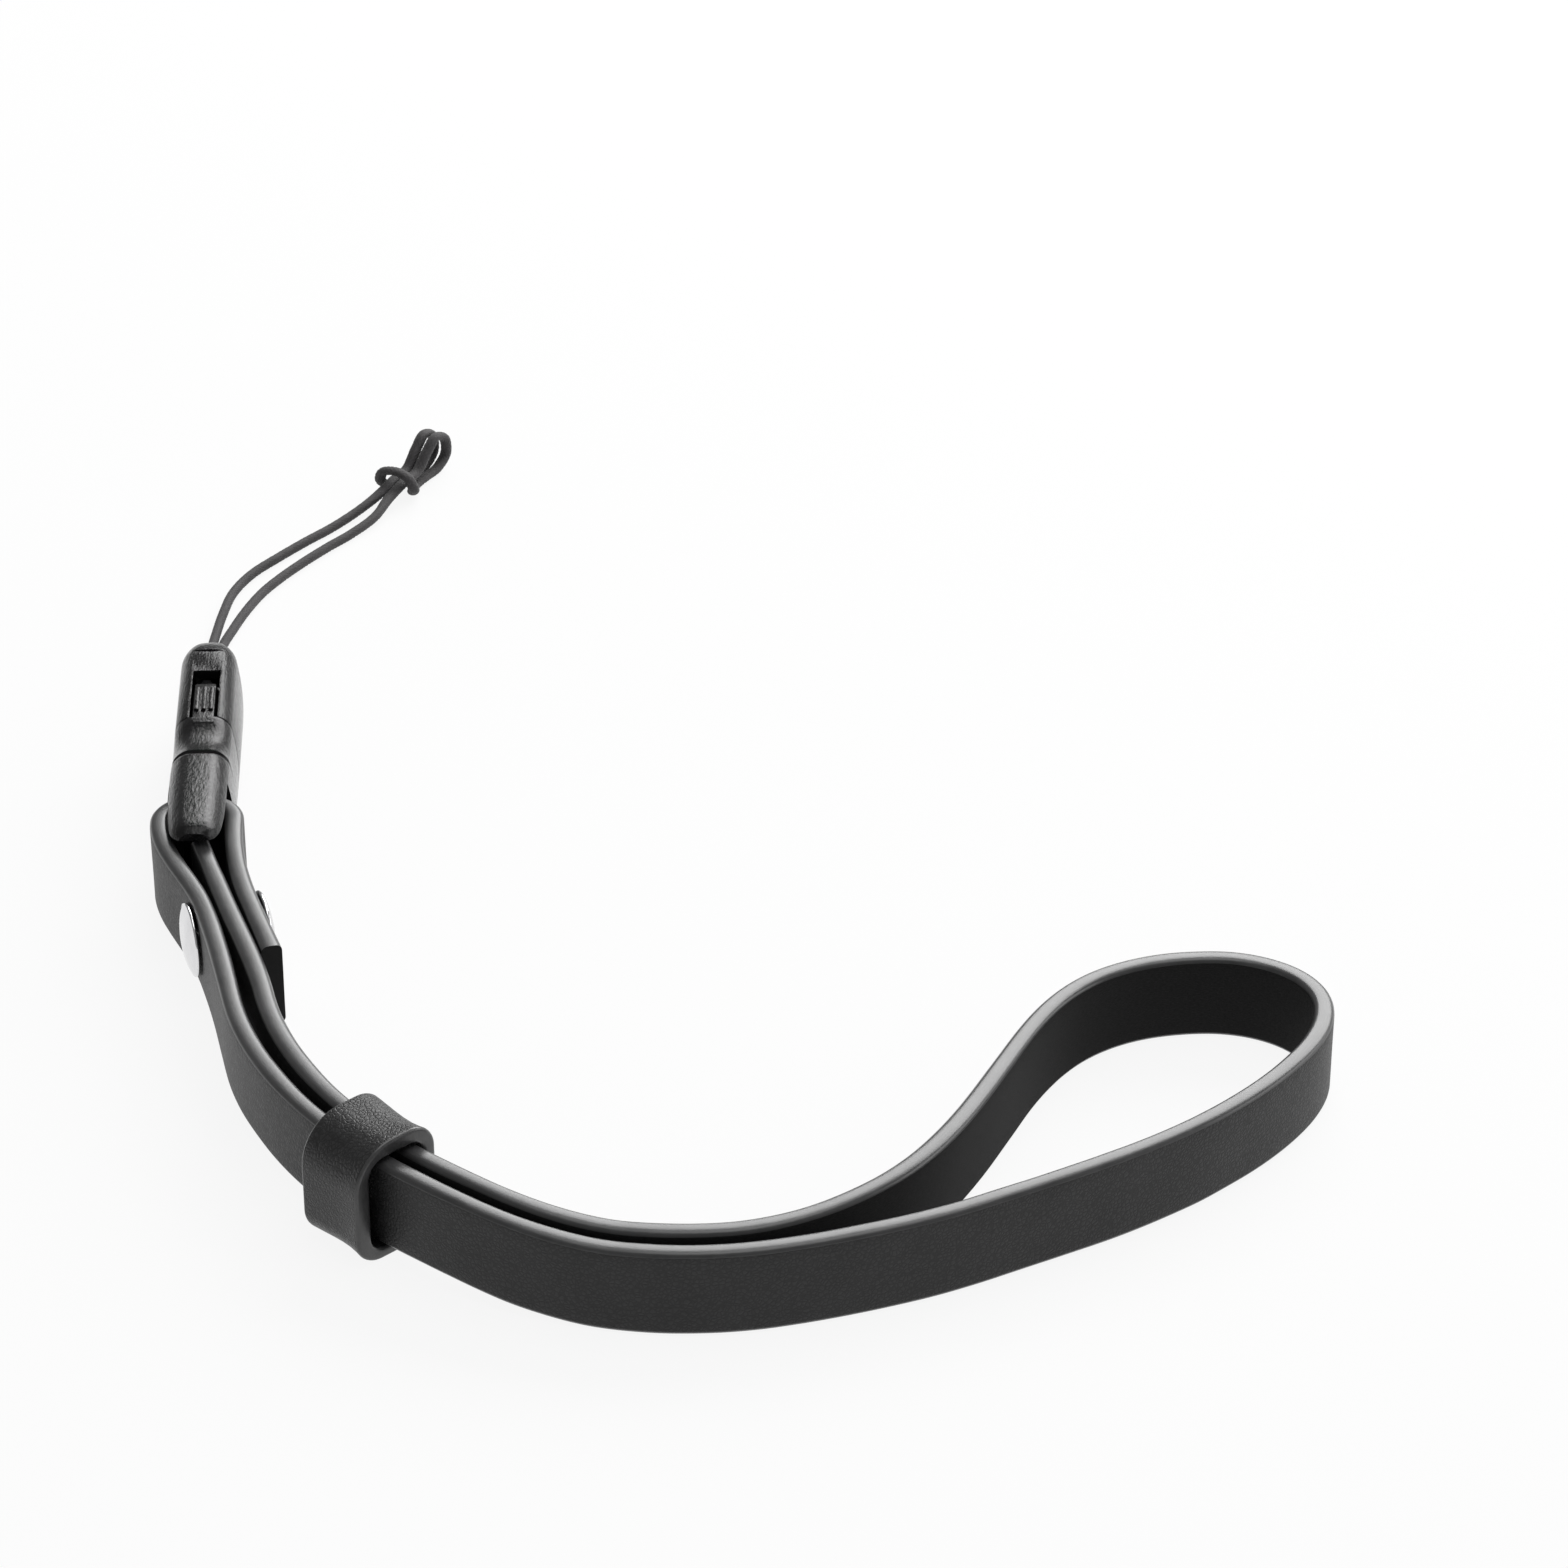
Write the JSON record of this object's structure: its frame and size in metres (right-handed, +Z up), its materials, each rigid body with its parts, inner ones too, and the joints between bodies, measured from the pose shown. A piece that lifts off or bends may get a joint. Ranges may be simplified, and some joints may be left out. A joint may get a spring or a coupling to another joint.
{
  "type": "camera wrist strap",
  "caption": "Leather camera wrist strap with a sliding keeper ring, a cap rivet, a quick release clip and a thin cord tied in a lark's head.",
  "frame": {"origin": "on the surface that the strap lies on, in the middle of the footprint of its leather and clip, without the cord", "axes": "+Z up, the leather's edge stands along it; +Y from the wrist loop's side to the clip and the cord; +X from the clip towards the wrist loop"},
  "size_m": [0.1174, 0.1739, 0.0126],
  "materials": {
    "leather": "black smooth grain leather with painted edges",
    "keeper": "soft matte black",
    "clip": "glossy black moulding",
    "rivet": "polished",
    "cord": "fine dark braid"
  },
  "bodies": {
    "strap": {"leather_band": "leather", "rivet_post": "rivet", "rivet_cap": "rivet", "clip_plug": "clip", "clip_socket": "clip", "camera_cord": "cord", "cord_knot": "cord"},
    "keeper": {"keeper_ring": "keeper"}
  },
  "joints": [
    {"name": "keeper_slide", "type": "hinge", "parent": "strap", "child": "keeper", "pos_m": [0.00676, -0.00084, 0], "axis": [0, 0, 1], "range_deg": [-25, 8]}
  ]
}
